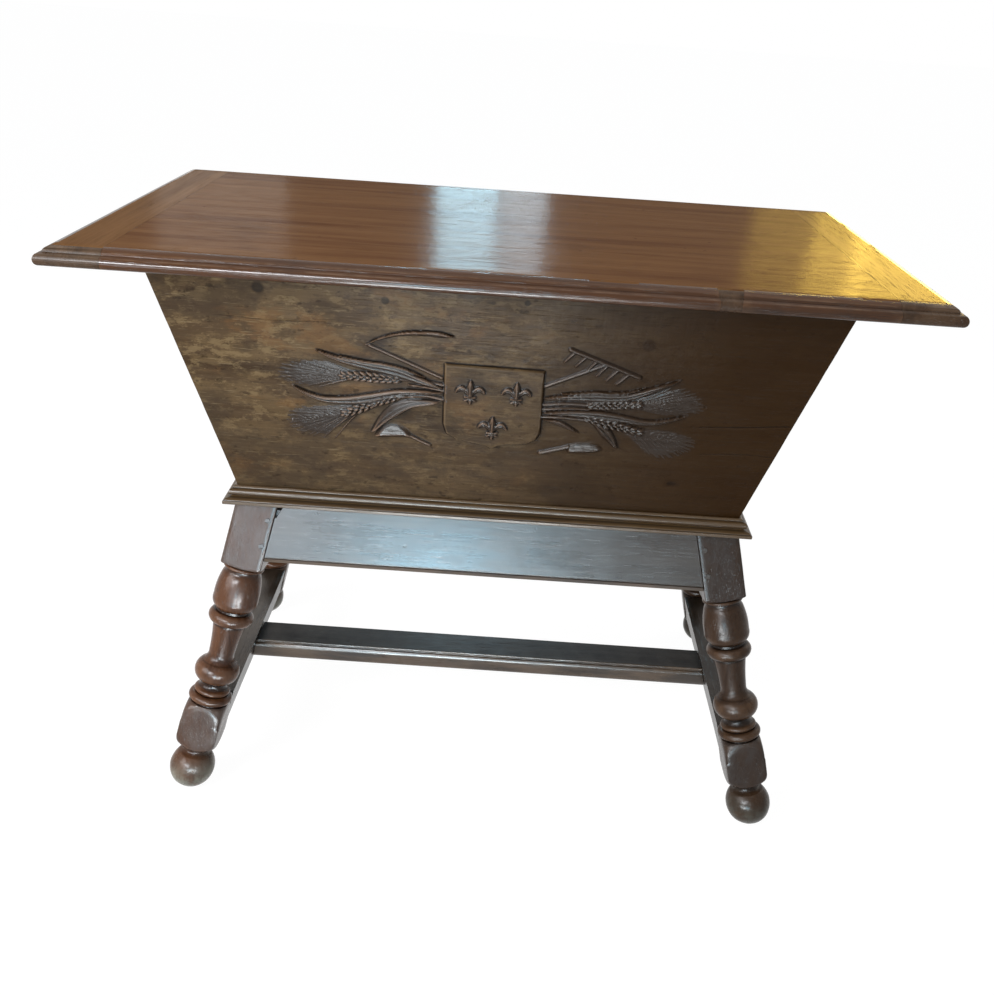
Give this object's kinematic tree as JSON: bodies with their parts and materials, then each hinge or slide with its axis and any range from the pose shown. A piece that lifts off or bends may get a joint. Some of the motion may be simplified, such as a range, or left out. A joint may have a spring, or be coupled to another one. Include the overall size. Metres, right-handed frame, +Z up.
{
  "type": "dough box",
  "caption": "Antique wooden dough box: a splayed trough with a carved front, under a moulded lid hinged at the back, on a stand with splayed turned legs and an H stretcher.",
  "frame": {"origin": "on the floor under the middle of the lid, which is also the middle of the stand", "axes": "+X along the length, to the right seen from the carved front; +Y towards the back; +Z up"},
  "size_m": [1.15, 0.575, 0.892],
  "materials": {
    "lid_wood": "worn wax polish",
    "cleat_wood": "worn wax polish",
    "panel_wood": "old dark wax",
    "moulding_wood": "worn wax polish",
    "leg_wood": "worn wax polish",
    "frame_wood": "worn wax polish",
    "iron": "dark forged iron"
  },
  "bodies": {
    "stand_and_trough": {"leg_front_left": "leg_wood", "leg_front_right": "leg_wood", "leg_back_left": "leg_wood", "leg_back_right": "leg_wood", "apron_front": "frame_wood", "apron_back": "frame_wood", "apron_left": "frame_wood", "apron_right": "frame_wood", "stretcher_left": "frame_wood", "stretcher_right": "frame_wood", "stretcher_centre": "frame_wood", "leg_pegs": "leg_wood", "floor_board_front": "frame_wood", "floor_board_back": "frame_wood", "moulding_front": "moulding_wood", "moulding_back": "moulding_wood", "moulding_left": "moulding_wood", "moulding_right": "moulding_wood", "panel_front": "panel_wood", "panel_back": "panel_wood", "panel_left": "panel_wood", "panel_right": "panel_wood", "hinge_trough_leaf_left": "iron", "hinge_trough_leaf_right": "iron", "hinge_pin_left": "iron", "hinge_pin_right": "iron", "hinge_trough_screws": "iron"},
    "lid": {"lid_board_front": "lid_wood", "lid_board_middle": "lid_wood", "lid_board_back": "lid_wood", "lid_cleat_left": "cleat_wood", "lid_cleat_right": "cleat_wood", "lid_edge_patch": "cleat_wood", "lid_pegs": "lid_wood", "hinge_lid_leaf_left": "iron", "hinge_lid_leaf_right": "iron", "hinge_lid_screws": "iron"}
  },
  "joints": [
    {"name": "lid_hinge", "type": "hinge", "parent": "stand_and_trough", "child": "lid", "pos_m": [0, 0.23895, 0.8615], "axis": [-1, 0, 0], "range_deg": [0, 105]}
  ]
}
